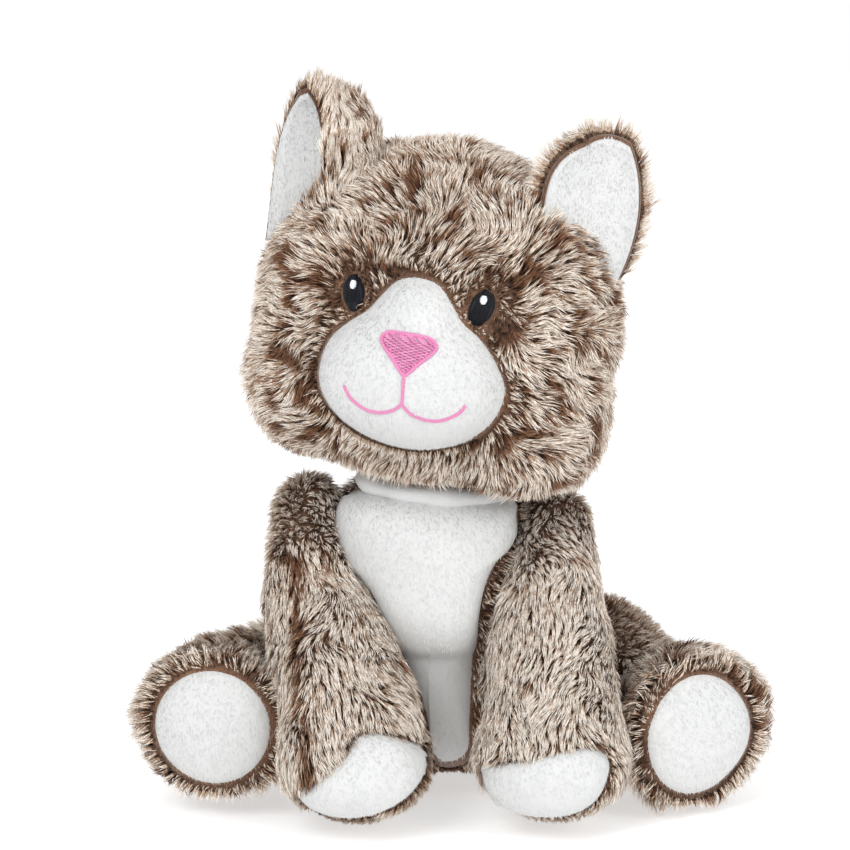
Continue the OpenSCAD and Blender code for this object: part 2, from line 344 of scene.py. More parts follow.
class Form:
    """A finished skin, to lay panels on and grow pile from."""

    def __init__(self, co, tris):
        self.co, self.tris = co, tris
        a, b, c = (self.co[self.tris[:, i]] for i in range(3))
        face = np.cross(b - a, c - a)
        self.area = np.linalg.norm(face, axis=1) / 2
        normal = np.zeros_like(self.co)
        for i in range(3):
            np.add.at(normal, self.tris[:, i], face)
        self.normal = unit(normal)
        self.tree = BVHTree.FromPolygons(self.co.tolist(), self.tris.tolist())

    def sample(self, rng, count):
        t = self.tris[rng.choice(len(self.tris), count, p=self.area / self.area.sum())]
        a, b = rng.uniform(0, 1, (2, count, 1))
        flip = (a + b) > 1
        a, b = np.where(flip, 1 - a, a), np.where(flip, 1 - b, b)
        w = (1 - a - b, a, b)
        p = sum(self.co[t[:, i]] * w[i] for i in range(3))
        n = unit(sum(self.normal[t[:, i]] * w[i] for i in range(3)))
        return p, n

    def cast(self, origin, way):
        """Where a line first meets the skin, and the smooth normal there."""
        hit, _, index, _ = self.tree.ray_cast(Vector(origin), Vector(way))
        if hit is None:
            hit, _, index, _ = self.tree.find_nearest(Vector(origin + way * CAST_FROM))
        p = np.array(hit)
        a, b, c = self.co[self.tris[index]]
        w = np.linalg.lstsq(np.array((a, b, c)).T, p, rcond=None)[0]
        n = unit((self.normal[self.tris[index]] * w[:, None]).sum(0))
        return p, n


def form_of(o):
    o.data.calc_loop_triangles()
    tris = np.zeros(len(o.data.loop_triangles) * 3, int)
    o.data.loop_triangles.foreach_get("vertices", tris)
    return Form(coordinates(o), tris.reshape(-1, 3))


FAR_OUTSIDE = 99
FACES_AWAY = -0.15
CAST_FROM = 150


class Plot:
    """A flat drawing frame in front of a form. U runs to the viewer's right and V up."""

    def __init__(self, origin, u, v):
        self.o = np.asarray(origin, float)
        self.u, self.v = unit(np.asarray(u, float)), unit(np.asarray(v, float))
        self.n = np.cross(self.u, self.v)

    def lay(self, form, q):
        p, n = [], []
        for a, b in q:
            at, normal = form.cast(self.o + a * self.u + b * self.v + self.n * CAST_FROM, -self.n)
            p.append(at)
            n.append(normal)
        return np.array(p), np.array(n)

    def flat(self, p):
        return np.stack([(p - self.o) @ self.u, (p - self.o) @ self.v], -1)

    def distance(self, outline, p, normal, deep=999):
        """How far outside an outline a point lies; a point on the form's far side is far outside."""
        far_side = (normal @ self.n < FACES_AWAY) | ((p - self.o) @ self.n < -deep)
        return np.where(far_side, FAR_OUTSIDE, outside(outline, self.flat(p)))


def between(a, b, c, d, t):
    """A point between b and c on the smooth line through four points."""
    return 0.5 * (2 * b + (c - a) * t + (2 * a - 5 * b + 4 * c - d) * t * t
                  + (3 * b - a - 3 * c + d) * t ** 3)


def spline(points, count):
    """A smooth closed line through the points, evenly stepped."""
    p = np.asarray(points, float)
    four = [np.roll(p, k, 0) for k in (1, 0, -1, -2)]
    line = np.stack([between(*four, t) for t in np.linspace(0, 1, 16, endpoint=False)], 1)
    line = line.reshape(-1, p.shape[1])
    step = np.linalg.norm(np.roll(line, -1, 0) - line, axis=1)
    along = np.concatenate([[0], np.cumsum(step)])
    closed = np.vstack([line, line[:1]])
    want = np.linspace(0, along[-1], count, endpoint=False)
    return np.stack([np.interp(want, along, closed[:, i]) for i in range(p.shape[1])], -1)


BATCH = 20000


def outside(poly, q):
    """Signed distance to a closed line, negative inside. Works in batches, to save memory."""
    out = np.zeros(len(q))
    a, b = poly, np.roll(poly, -1, 0)
    d = b - a
    for i in range(0, len(q), BATCH):
        p = q[i:i + BATCH, None]
        t = np.clip(((p - a) * d).sum(-1) / (d * d).sum(-1), 0, 1)
        far = np.sqrt((((p - a) - t[..., None] * d) ** 2).sum(-1)).min(1)
        up = (a[:, 1] <= p[..., 1]) != (b[:, 1] <= p[..., 1])
        across = a[:, 0] + (p[..., 1] - a[:, 1]) * d[:, 0] / np.where(d[:, 1] == 0, 1e-9, d[:, 1])
        within = ((up & (p[..., 0] < across)).sum(1) % 2).astype(bool)
        out[i:i + BATCH] = np.where(within, -far, far)
    return out


RIM = 96


def panel(name, form, plot, outline, rise, thick=2.0, rings=18, tuck=1.2, middle=None, dent=None,
          steep=4.0):
    """A padded panel, sewn down at its rim and swelling in the middle. Returns it and its rim.

    From one ring to the next it falls back no more than steep, so that no rim point strays behind.
    """
    rim = spline(outline, RIM)
    c = rim.mean(0) if middle is None else np.asarray(middle, float)
    share = np.linspace(0, 1, rings + 1)[1:] ** 0.8
    q = np.concatenate([[c]] + [c + (rim - c) * s for s in share])
    s = np.concatenate([[0], np.repeat(share, RIM)])
    p, n = plot.lay(form, q)
    depth = (p - plot.o) @ plot.n
    fall = depth[1:].reshape(rings, RIM)
    for i in range(1, rings):
        fall[i] = np.maximum(fall[i], fall[i - 1] - steep)
    p = p + (np.concatenate([depth[:1], fall.ravel()]) - (p - plot.o) @ plot.n)[:, None] * plot.n
    for _ in range(3):
        ring = n[1:].reshape(rings, RIM, 3)
        ring = ring + np.roll(ring, 1, 1) + np.roll(ring, -1, 1)
        n = np.concatenate([n[:1], unit(ring).reshape(-1, 3)])
    up = rise * (1 - s ** 5) - tuck * s ** 14
    if dent is not None:
        up = up + dent(q) * (1 - s ** 8)
    top, low = p + n * up[:, None], p - n * thick
    ids = np.arange(1, len(q)).reshape(rings, RIM)
    faces = []
    for j in range(RIM):
        k = (j + 1) % RIM
        faces.append((0, ids[0, j], ids[0, k]))
        for i in range(rings - 1):
            faces.append((ids[i, j], ids[i + 1, j], ids[i + 1, k], ids[i, k]))
    under = [tuple(x + len(q) for x in f[::-1]) for f in faces]
    for j in range(RIM):
        k = (j + 1) % RIM
        under.append((ids[-1, j], ids[-1, j] + len(q), ids[-1, k] + len(q), ids[-1, k]))
    return face_outward(mesh_object(name, np.concatenate([top, low]), faces + under, [WHITE])), rim


def big_mesh(name, verts, starts, corners, index, materials):
    """A mesh of many small faces."""
    me = bpy.data.meshes.new(name)
    me.vertices.add(len(verts))
    me.vertices.foreach_set("co", ((verts + SHIFT) * MM).astype(np.float32).ravel())
    me.loops.add(len(corners))
    me.loops.foreach_set("vertex_index", corners.astype(np.int32))
    me.polygons.add(len(starts))
    me.polygons.foreach_set("loop_start", starts.astype(np.int32))
    for m in materials:
        me.materials.append(m)
    me.polygons.foreach_set("material_index", index.astype(np.int32))
    me.polygons.foreach_set("use_smooth", np.ones(len(starts), bool))
    me.update(calc_edges=True)
    o = bpy.data.objects.new(name, me)
    bpy.context.scene.collection.objects.link(o)
    return o


def sheet(name, top, low, material):
    """A thin closed sheet between two grids of points."""
    rows, w = top.shape[:2]
    k = rows * w
    faces = []
    for j in range(rows - 1):
        for i in range(w - 1):
            q = (j * w + i, j * w + i + 1, (j + 1) * w + i + 1, (j + 1) * w + i)
            faces += [q, tuple(x + k for x in q[::-1])]
    edge = [(i, i + 1) for i in range(w - 1)]
    edge += [(j * w + w - 1, (j + 1) * w + w - 1) for j in range(rows - 1)]
    edge += [((rows - 1) * w + i + 1, (rows - 1) * w + i) for i in range(w - 1)]
    edge += [((j + 1) * w, j * w) for j in range(rows - 1)]
    faces += [(b, a, a + k, b + k) for a, b in edge]
    points = np.concatenate([top.reshape(-1, 3), low.reshape(-1, 3)])
    return face_outward(mesh_object(name, points, faces, [material]))


TUFT = 3.0
BEND = (0.0, 0.3, 0.62, 1.0)
TAPER = (1.0, 1.0, 0.8)


def grow(form, count, seed, flow, keep, length=7.6, width=0.42, rise=0.66, gather=0.8, tone=None, swirl=1.0,
         flecked=1.0):
    """Blades of pile as arrays: their points, shade and root. keep says how long each stands, or 0."""
    rng = np.random.default_rng(seed)
    p, n = form.sample(rng, count)
    share = keep(p, n)
    here = share > 0
    p, n, share = p[here], n[here], share[here]
    d = flow(p, n)
    d = unit(d - n * (d * n).sum(1, keepdims=True))
    turn = swirl * (0.6 * noise(p, 22, 1) + 0.9 * noise(p, 8, 2))
    d = d * np.cos(turn)[:, None] + np.cross(n, d) * np.sin(turn)[:, None]
    way, shared = tufts(p, TUFT)
    way -= n * (way * n).sum(1, keepdims=True)
    size = length * share * rng.uniform(0.8, 1.1, len(p)) * (0.92 + 0.16 * shared[:, 0])
    size *= 1 + 0.12 * noise(p, 12, 0)
    short = np.clip((0.95 - share) * 1.2, 0, 0.35)
    upright = np.clip(rise + short + 0.16 * (shared[:, 1] - 0.5) + 0.2 * noise(p, 11, 3), 0.2, 0.95)
    side = np.sqrt(1 - upright ** 2)
    jitter = rng.normal(0, 0.07, p.shape)
    tip = p + size[:, None] * (n * upright[:, None] + d * side[:, None] + jitter) + way * gather
    bow = p + size[:, None] * (n * 0.5 + d * 0.08) + way * gather * 0.25
    across = unit(np.cross(tip - p, n + rng.normal(0, 0.55, p.shape)))
    wide = width * rng.uniform(0.75, 1.2, len(p))
    points = []
    for t, w in zip(BEND, TAPER + (0,)):
        at = p * (1 - t) ** 2 + bow * 2 * t * (1 - t) + tip * t * t
        if w:
            points += [at - across * (wide * w / 2)[:, None], at + across * (wide * w / 2)[:, None]]
        else:
            points.append(at)
    pts = np.stack(points, 1)
    pts[..., 2] = np.maximum(pts[..., 2], FLOOR_CLEAR)
    flecks = np.clip(noise(p, 4, 5) - 0.1, 0, 1) * (1.1 + 0.9 * noise(p, 16, 3))
    partings = np.clip(1 - np.abs(noise(p, 12, 0)) * 6, 0, 1) * np.clip(0.3 + noise(p, 24, 2), 0, 1)
    value = 0.52 + 0.2 * noise(p, 13, 4) - flecked * (1.6 * flecks + 0.9 * partings)
    value += 0.4 * (shared[:, 2] - 0.5) + rng.normal(0, 0.27, len(p))
    if tone is not None:
        value = value + tone(p, n)
    shade = np.digitize(value, (-0.5, -0.12, 0.3))
    return pts, shade, p, n


# One blade: two quads and a tip, by their corners and where each face starts.
BLADE_POINTS = 7
BLADE_CORNERS = np.array((0, 1, 3, 2, 2, 3, 5, 4, 4, 5, 6))
BLADE_STARTS = np.array((0, 4, 8))


def pile(name, grown, own):
    """The blades that belong to one panel, as one piece."""
    pts, shade, p, n = grown
    mine = own(p, n) > 0
    pts, shade = pts[mine], shade[mine]
    k = len(pts)
    corners = (np.arange(k)[:, None] * BLADE_POINTS + BLADE_CORNERS).ravel()
    starts = (np.arange(k)[:, None] * len(BLADE_CORNERS) + BLADE_STARTS).ravel()
    index = (shade[:, None] * 3 + np.arange(3)).ravel()
    print("pile", name, k)
    return big_mesh(name, pts.reshape(-1, 3), starts, corners, index, FUR)


def nap(name, o, density, seed, flow, length=1.5, width=0.4):
    """Short white pile over the outside of a panel."""
    form = form_of(o)
    rng = np.random.default_rng(seed)
    p, n = form.sample(rng, int(form.area.sum() * density))
    d = flow(p, n)
    d = unit(d - n * (d * n).sum(1, keepdims=True))
    lean = d + rng.normal(0, 0.15, p.shape)
    size = length * rng.uniform(0.6, 1.15, (len(p), 1))
    across = unit(np.cross(d, n)) * width / 2
    tip = p + size * (n * 0.25 + lean * 0.95)
    pts = np.stack([p - across, p + across, tip], 1)
    pts[..., 2] = np.maximum(pts[..., 2], FLOOR_CLEAR)
    k = len(p)
    index = (noise(p, 9, 2) + rng.normal(0, 0.5, k) < -0.3).astype(int)
    return big_mesh(name, pts.reshape(-1, 3), np.arange(k) * 3, np.arange(k * 3), index, WHITE_PILE)


# How high and how thick a thread is at each step along it.
THREAD_HIGH = (-0.25, 0.75, 1.0, 0.75, -0.25)
THREAD_ROUND = (0.5, 1, 1, 1, 0.5)
THREAD_SIDES, THREAD_STEPS = 5, len(THREAD_HIGH)


def stitches(name, form, plot, ends, materials, radius=0.24, lift=0.5):
    """Raised threads, each laid on a form from one end to the other."""
    verts, faces, tone = [], [], []
    w = THREAD_SIDES
    for i, (a, b) in enumerate(ends):
        a, b = np.asarray(a, float), np.asarray(b, float)
        p, n = plot.lay(form, [a + (b - a) * t for t in np.linspace(0, 1, THREAD_STEPS)])
        along = unit(p[-1] - p[0])
        for at, normal, high, thick in zip(p, n, THREAD_HIGH, THREAD_ROUND):
            r = radius * thick
            aside = unit(np.cross(along, normal))
            for k in range(w):
                t = 2 * math.pi * k / w
                verts.append(at + normal * high * lift + r * (aside * math.cos(t) + normal * math.sin(t)))
        base = i * w * THREAD_STEPS
        for q in range(base, base + w * (THREAD_STEPS - 1), w):
            faces += [(q + k, q + (k + 1) % w, q + w + (k + 1) % w, q + w + k) for k in range(w)]
        faces += [tuple(range(base, base + w))[::-1], tuple(range(len(verts) - w, len(verts)))]
        tone += [i % len(materials)] * (w * (THREAD_STEPS - 1) + 2)
    o = mesh_object(name, np.array(verts), faces, materials)
    o.data.polygons.foreach_set("material_index", tone)
    return o


# ---------------------------------------------------------------- skins

def chain(*balls):
    """Hulls from each ball to the next."""
    made = [ball(*b) for b in balls]
    return [np.concatenate(pair) for pair in zip(made, made[1:])]


def head_ball(centre, semi):
    return ball(on_head(centre), semi, HEAD_R)


SEAM_WAY, SEAM_BACK = (0, 0.94, 0.342), 3.8
MID_X = -4
# How near a seam a skin is held still.
SEAM_HOLD = 3


def behind_seam(q):
    """How far a point of the head's own frame lies behind the seam from ear to ear."""
    return q @ SEAM_WAY + SEAM_BACK


CRANIUM, CHEEKS = ((0, 0, 0), (66, 55, 63)), ((-36, -2, -24), (38, -2, -28))
CHEEK_SEMI = (28.5, 42, 33)
MUZZLE, BROW = ((0, -42, -18), (34.5, 29.5, 26.5)), ((0, -48, 4), (16, 16.5, 16.5))
head_skin = fuse("head_skin", [
    head_ball(*CRANIUM), *(head_ball(at, CHEEK_SEMI) for at in CHEEKS), head_ball(*MUZZLE), head_ball(*BROW),
], BACKING, smooth=6)
inflate(head_skin, lambda p: (np.abs(in_head(p)[:, 0]) < SEAM_HOLD)
        | (np.abs(behind_seam(in_head(p))) < SEAM_HOLD))
head_form = form_of(head_skin)

torso_skin = fuse("torso_skin", chain(
    ((-2, 18, 28), (51, 44, 22)),
    ((-3, 14, 48), (47, 42, 28)),
    ((-4, 3, 76), (39, 41, 25)),
    ((-7, -6, 96), (36, 31, 19)),
    ((-8, -10, 109), (36, 26, 13)),
    ((-5, -2, 117), (27, 26, 9)),
) + [ball((-2, 18, 30), (51, 44, 25))], BACKING)
inflate(torso_skin, lambda p: (np.abs(p[:, 0] - MID_X) < SEAM_HOLD) | (p[:, 2] < 12))
torso_form = form_of(torso_skin)

ARMS = {
    -1: (((-52.5, -6, 110.5), 11.5), ((-49.5, -27, 76), 17.5), ((-41, -45, 57), 21), ((-37, -55, 43), 22.5)),
    1: (((40.5, -8, 104), 12.5), ((38.5, -28, 80), 16.5), ((37.5, -38, 66), 20), ((38.5, -54, 43), 22)),
}
PAWS = {-1: (-34.5, -65, 26.5), 1: (37, -63, 26.5)}
PAW_SEMI = (26.5, 26, 20.5)
SIDES = {-1: "right", 1: "left"}
arm_forms, arm_skins = {}, {}
for side, name in SIDES.items():
    balls = ARMS[side]
    paw = ball(PAWS[side], PAW_SEMI)
    skin = fuse(f"{name}_arm_skin", chain(*balls) + [paw, np.concatenate([ball(*balls[-1]), paw])], BACKING)
    at = balls[-1][0]
    inflate(skin, lambda p: (np.abs(p[:, 0] - at[0] - side * 8) < 2.5) & (p[:, 1] < at[1] + 30))
    arm_skins[side], arm_forms[side] = skin, form_of(skin)

LEGS = {
    -1: (((-49, 26, 36), 22), ((-88, -24, 34.5), 24.5)),
    1: (((56, 14, 44), 25), ((76, -5, 32), 20.5), ((92, -22, 32.5), 24.5)),
}
SOLE_AT = {-1: np.array((-88.5, -47, 34.5)), 1: np.array((93, -45, 31.5))}
SOLE_FACING = {-1: -20, 1: 32}
SOLE_SEMI = {-1: (26, 24), 1: (24.5, 25.5)}
SOLE_DEEP, SOLE_FIT = 11, 0.94
leg_forms, leg_skins, sole_plots = {}, {}, {}
for side, name in SIDES.items():
    facing = turn_matrix("z", SOLE_FACING[side])
    wide, high = SOLE_SEMI[side]
    out = facing @ (0, -1, 0)
    rim = [SOLE_AT[side] - out * 4.5 + facing @ ((wide + 2) * math.cos(t), 0, (high + 2) * math.sin(t))
           for t in np.linspace(0, 2 * math.pi, 32, endpoint=False)]
    face = ball(SOLE_AT[side] - out * 6, (wide - 2, 8, high - 2), facing)
    foot = np.concatenate([rim, face, ball(*LEGS[side][-1])])
    skin = fuse(f"{name}_leg_skin", chain(*LEGS[side]) + [foot], BACKING, voxel=3.5, smooth=3)
    inflate(skin, lambda p: np.abs((p - SOLE_AT[side]) @ out + 6) < SEAM_HOLD)
    leg_skins[side], leg_forms[side] = skin, form_of(skin)
    sole_plots[side] = Plot(SOLE_AT[side], facing @ (1, 0, 0), (0, 0, 1))

TAIL_ROOT, TAIL_END = np.array((8, 70, 19.0)), np.array((64, 94, 13.0))
TAIL_SEAM_Z = 15.5
tail_skin = fuse("tail_skin", [np.concatenate([ball(TAIL_ROOT, 9), ball(TAIL_END, 6.5)])], BACKING, voxel=3)
inflate(tail_skin, lambda p: np.abs(p[:, 2] - TAIL_SEAM_Z) < 2)
tail_form = form_of(tail_skin)

# ---------------------------------------------------------------- ears

# Each ear at four heights from base to tip: its front edge, the middle of its fold and its rear edge.
EAR_HEIGHTS = (0, 0.35, 0.7, 1)
EAR_ROWS = {
    -1: (((-46.7, -38, 225), (-46.7, -34, 246), (-47.8, -31, 259.5), (-51.5, -28, 267)),
         ((-30, -24, 226), (-30, -24, 249), (-36, -25, 262), (-49, -26.5, 269)),
         ((-68, -14, 212), (-65.5, -13, 233), (-61.5, -16, 253), (-54, -25, 267))),
    1: (((32, -46, 217), (34.5, -44, 232), (39.5, -41, 243), (50, -37, 249)),
        ((51, -33, 206), (55, -29, 223), (56, -29, 239), (57.5, -33, 252)),
        ((59.5, -30, 194.5), (67.5, -28, 213.5), (69.5, -28, 233), (65.5, -32, 249))),
}
EAR_ACROSS, EAR_UP = 25, 22


def ear_grid(side, spread, reach):
    """Points on an ear's middle sheet, and the way out of its cup at each."""
    front, middle, rear = (np.polyfit(EAR_HEIGHTS, np.array(rows), 3) for rows in EAR_ROWS[side])
    t = np.linspace(-spread, spread, EAR_ACROSS)[None, :, None]
    v = np.linspace(0, reach, EAR_UP)
    f, m, b = (np.stack([np.polyval(c[:, k], v) for k in range(3)], -1)[:, None]
               for c in (front, middle, rear))
    p = f * (t * t - t) / 2 + m * (1 - t * t) + b * (t * t + t) / 2
    n = unit(np.cross(np.gradient(p, axis=1), np.gradient(p, axis=0))) * -side
    return p, n


def ear_sheet(side, name, grow, spread, reach, thick, material):
    """One cupped sheet of an ear. grow moves it out of the cup; spread and reach trim it."""
    p, n = ear_grid(side, spread, reach)
    top, low = (p + n * (grow + s * thick / 2) for s in (1, -1))
    return sheet(name, top, low, material)


def ear_outside(side):
    """The outer face of an ear alone, to grow its pile from."""
    p, n = ear_grid(side, 1.0, 1.0)
    ids = np.arange(EAR_UP * EAR_ACROSS).reshape(EAR_UP, EAR_ACROSS)
    a, b, c, d = ids[:-1, :-1].ravel(), ids[:-1, 1:].ravel(), ids[1:, 1:].ravel(), ids[1:, :-1].ravel()
    tris = np.concatenate([np.stack((a, b, c), 1), np.stack((a, c, d), 1)])
    if side > 0:
        tris = tris[:, ::-1]
    return Form((p + n * 1.6).reshape(-1, 3), tris)


ears = {}
for side, name in SIDES.items():
    back = ear_sheet(side, f"{name}_ear_backing", 0.8, 1.0, 1.0, 1.8, BACKING)
    lining = ear_sheet(side, f"{name}_ear_lining_cloth", -0.8, 0.99, 0.985, 1.4, WHITE)
    ears[side] = (back, lining)

# ---------------------------------------------------------------- white panels

FACE = Plot(HEAD_AT, HEAD_R @ (1, 0, 0), HEAD_R @ (0, 0, 1))
MUZZLE_OUTLINE = (
    (0, 21.5), (8, 19.5), (14, 13), (19, 6.5), (26, 1.5), (33, -7), (37, -17), (35, -28), (27, -37.5),
    (14, -43.5), (2, -45), (-12, -42.5), (-25, -37), (-33, -28), (-34.5, -17), (-31.5, -7), (-25, 0.5),
    (-18.5, 6), (-13.5, 13), (-8, 19.5),
)
FRONT = Plot((0, 0, 0), (1, 0, 0), (0, 0, 1))
CHEST_OUTLINE = (
    (-38, 119), (-43, 113), (-44.5, 105), (-43.5, 100), (-42, 96), (-35, 90), (-29, 83), (-24.5, 75),
    (-21, 66), (-17, 56), (-12, 44), (-8, 30), (-6, 14), (0, 8), (8, 14), (9, 30), (9.5, 44), (10, 56),
    (11, 64), (11.5, 75),
    (14, 86), (18.5, 95), (24, 100), (26.5, 104), (26, 110), (24, 118), (-6, 121),
)
TOE_OUTLINES = {
    -1: ((-25, 42), (-33, 41.5), (-37, 36), (-43, 30), (-50, 24), (-56, 18.5), (-52, 12.5), (-40, 10),
         (-26, 12), (-14, 18), (-7.5, 26), (-8, 32), (-15, 38)),
    1: ((11, 26), (16, 29.5), (28, 33), (44, 36.5), (53, 36), (58, 31), (58, 25), (54, 16.5), (46, 11.5),
        (34, 10), (20, 11), (13, 16)),
}


def sole_outline(side):
    wide, high = SOLE_SEMI[side]
    tilt = math.radians(-14 * side)
    points = []
    for k in range(20):
        t = 2 * math.pi * k / 20
        a, b = SOLE_FIT * wide * math.cos(t), SOLE_FIT * high * math.sin(t)
        points.append((a * math.cos(tilt) - b * math.sin(tilt), a * math.sin(tilt) + b * math.cos(tilt)))
    return points


FOLD_Z = 61


def chest_dent(q):
    """The chest bulges over a fold, and the belly lies back below it."""
    below = 1 / (1 + np.exp((q[:, 1] - FOLD_Z) / 1.6))
    return -3.6 * below - 1.4 * np.exp(-((q[:, 1] - FOLD_Z + 1) / 2.4) ** 2) \
        + 2.5 * np.exp(-((q[:, 1] - FOLD_Z - 13) / 11) ** 2)


white = {}
white["muzzle"], muzzle_rim = panel("muzzle_cloth", head_form, FACE, MUZZLE_OUTLINE, 1.8, middle=(0, -16))
white["belly"], belly_rim = panel("belly_cloth", torso_form, FRONT, CHEST_OUTLINE, 6.5, thick=2.5, rings=26,
                                  middle=(-8, 84), dent=chest_dent)
toe_rims, sole_rims = {}, {}
for side, name in SIDES.items():
    white[f"{name}_toe"], toe_rims[side] = panel(
        f"{name}_toe_cloth", arm_forms[side], FRONT, TOE_OUTLINES[side], 4)
    white[f"{name}_sole"], sole_rims[side] = panel(
        f"{name}_sole_cloth", leg_forms[side], sole_plots[side], sole_outline(side), 1.8)

# ---------------------------------------------------------------- fur

EYES = {-1: (-23.9, 9.7), 1: (22.9, 11.6)}


def toward(*way):
    return lambda p, n: np.broadcast_to(np.array(way, float), p.shape)


def head_flow(p, n):
    """Out from the muzzle, and down over the cheeks and the back."""
    q = in_head(p)
    away = unit(q - (0, -70, -8))
    away[:, 2] -= 0.45 + 0.35 * (q[:, 1] > 0)
    for side in SIDES:
        near = q[:, [0, 2]] - np.array(EYES[side]) * (1.04, 1)
        near = near * np.exp(-(np.linalg.norm(near, axis=1, keepdims=True) / 9) ** 2) * (q[:, 1:2] < 0) * 0.5
        away[:, [0, 2]] += near
    return away @ HEAD_R.T


def shorten(d, close, full):
    """0 inside a line, short beside it, and full length further out."""
    return np.where(d < close, 0, 0.5 + 0.5 * np.clip((d - close) / full, 0, 1))


def head_keep(p, n):
    q = in_head(p)
    keep = shorten(FACE.distance(muzzle_rim, p, n), -1.3, 5)
    for side in SIDES:
        flat = FACE.flat(p)
        eye = np.hypot((flat[:, 0] - EYES[side][0]) / 4.7, (flat[:, 1] - EYES[side][1]) / 6.7)
        front = n @ FACE.n > 0.1
        keep = np.where(front & (eye < 1), 0, keep)
        keep = np.where(front & (eye < 2.2), keep * (0.4 + 0.5 * np.clip((eye - 1) / 1.2, 0, 1)), keep)
    seam = np.abs(behind_seam(q))
    below = np.clip((-q[:, 2] - 48) / 10, 0, 1) * (q[:, 1] > -25)
    return keep * np.where((seam < 1.6) & (q[:, 2] > 0), 0.5, 1) * (1 - 0.6 * below)


def head_tone(p, n):
    """Darker round the eyes and along the seam over the head."""
    q = in_head(p)
    out = np.zeros(len(p))
    for side in SIDES:
        far = np.hypot((q[:, 0] - EYES[side][0] * 1.04) / 9, (q[:, 2] - EYES[side][1] - 2.5) / 12)
        out -= np.where(q[:, 1] < 0, 0.9 * np.exp(-far ** 2), 0)
    seam = np.abs(behind_seam(q))
    out -= 0.7 * np.exp(-(seam / 2.2) ** 2) * (q[:, 2] > 0)
    edge = FACE.distance(muzzle_rim, p, n)
    return out + 0.3 * np.exp(-(edge / 3) ** 2)


# Darker near a panel's rim by depth, or lighter where depth is below 0. The darkening is painted shade,
# where the pile meets the raised panel.
def rim_tone(plot, rim, depth=0.2, reach=3.0, deep=999):
    return lambda p, n: -depth * np.exp(-(plot.distance(rim, p, n, deep) / reach) ** 2)


head_grown = grow(head_form, 86000, 21, head_flow, head_keep, tone=head_tone)


def head_back(p, n):
    return behind_seam(in_head(p)) > 0


def right_face(p, n):
    return ~head_back(p, n) & (in_head(p)[:, 0] < 0)


def left_face(p, n):
    return ~head_back(p, n) & (in_head(p)[:, 0] >= 0)


fur = {
    "head_face_right": pile("head_face_right_fur", head_grown, right_face),
    "head_face_left": pile("head_face_left_fur", head_grown, left_face),
    "head_back": pile("head_back_fur", head_grown, head_back),
}


def torso_keep(p, n):
    keep = shorten(FRONT.distance(belly_rim, p, n), -0.8, 5)
    return np.where(np.abs(n[:, 2]) > 0.75, keep * 0.45, keep)


def torso_flow(p, n):
    return np.stack([(p[:, 0] - MID_X) * 0.008, (p[:, 1] - 10) * 0.008, -np.ones(len(p))], -1)


# The fur beside the belly panel's rim is painted darker, as painted shade.
torso_grown = grow(torso_form, 46000, 22, torso_flow, torso_keep, tone=rim_tone(FRONT, belly_rim))
SEAT_Z = 8


def pile_of(node, grown, own):
    fur[node] = pile(f"{node}_fur", grown, own)


def everywhere(p, n):
    return np.ones(len(p))


pile_of("torso_right_side", torso_grown, lambda p, n: (p[:, 2] >= SEAT_Z) & (p[:, 0] < MID_X))
pile_of("torso_left_side", torso_grown, lambda p, n: (p[:, 2] >= SEAT_Z) & (p[:, 0] >= MID_X))
pile_of("seat_panel", torso_grown, lambda p, n: p[:, 2] < SEAT_Z)

SHOULDER_Z, SHOULDER_FADE, SEAM_TOP = 88, 15, 98
# tone and flecked are painted light: both arms are lifted and given fewer dark flecks to offset their own
# shade, and the left arm (at the viewer's right) is lifted most, for light from that side.
ARM_LOOK_AND_LIGHT = {-1: dict(seam=1.5, tone=0.22, rise=0.46, flecked=0.75),
            1: dict(seam=0.5, tone=0.75, rise=0.36, flecked=0.55)}


def worn_under(n):
    """Pile that stands on the floor is pressed short."""
    return np.where(n[:, 2] < -0.8, 0.5, 1)


def arm_fur(side, name):
    look = ARM_LOOK_AND_LIGHT[side]
    top, foot = ARMS[side][0][0], ARMS[side][-1][0]
    down = unit(np.array(foot) - top)
    seam_x = foot[0] + side * 14

    def flow(p, n):
        low = np.clip((50 - p[:, 2]) / 30, 0, 1)[:, None]
        return down * (1 - low) + np.array((side * 0.15, -0.55, -0.8)) * low

    def shoulder(p):
        return np.clip((p[:, 2] - SHOULDER_Z) / SHOULDER_FADE, 0, 1)

    def keep(p, n):
        beside = shorten(FRONT.distance(toe_rims[side], p, n), -0.8, 5) * worn_under(n)
        return beside * (1 - 0.3 * shoulder(p))

    def tone(p, n):
        """Lighter than the body, and dark along the seam. The lightness is painted light that offsets the
        arms' own shade, more on the left arm, at the viewer's right, for light from that side; the darkening
        beside the toe panel's rim is painted shade.
        """
        line = np.exp(-((p[:, 0] - seam_x - side * (p[:, 2] - foot[2]) * 0.1) / 2.4) ** 2)
        seam = look["seam"] * line * (n[:, 1] < 0.2) * (p[:, 2] < SEAM_TOP)
        return look["tone"] + 0.3 * shoulder(p) + rim_tone(FRONT, toe_rims[side], 0.5)(p, n) - seam

    grown = grow(arm_forms[side], 34000, 30 + side, flow, keep, tone=tone, swirl=0.55,
                 rise=look["rise"], flecked=look["flecked"])
    pile_of(f"{name}_arm_outer", grown, lambda p, n: (p[:, 0] - seam_x) * side > 0)
    pile_of(f"{name}_arm_inner", grown, lambda p, n: (p[:, 0] - seam_x) * side <= 0)


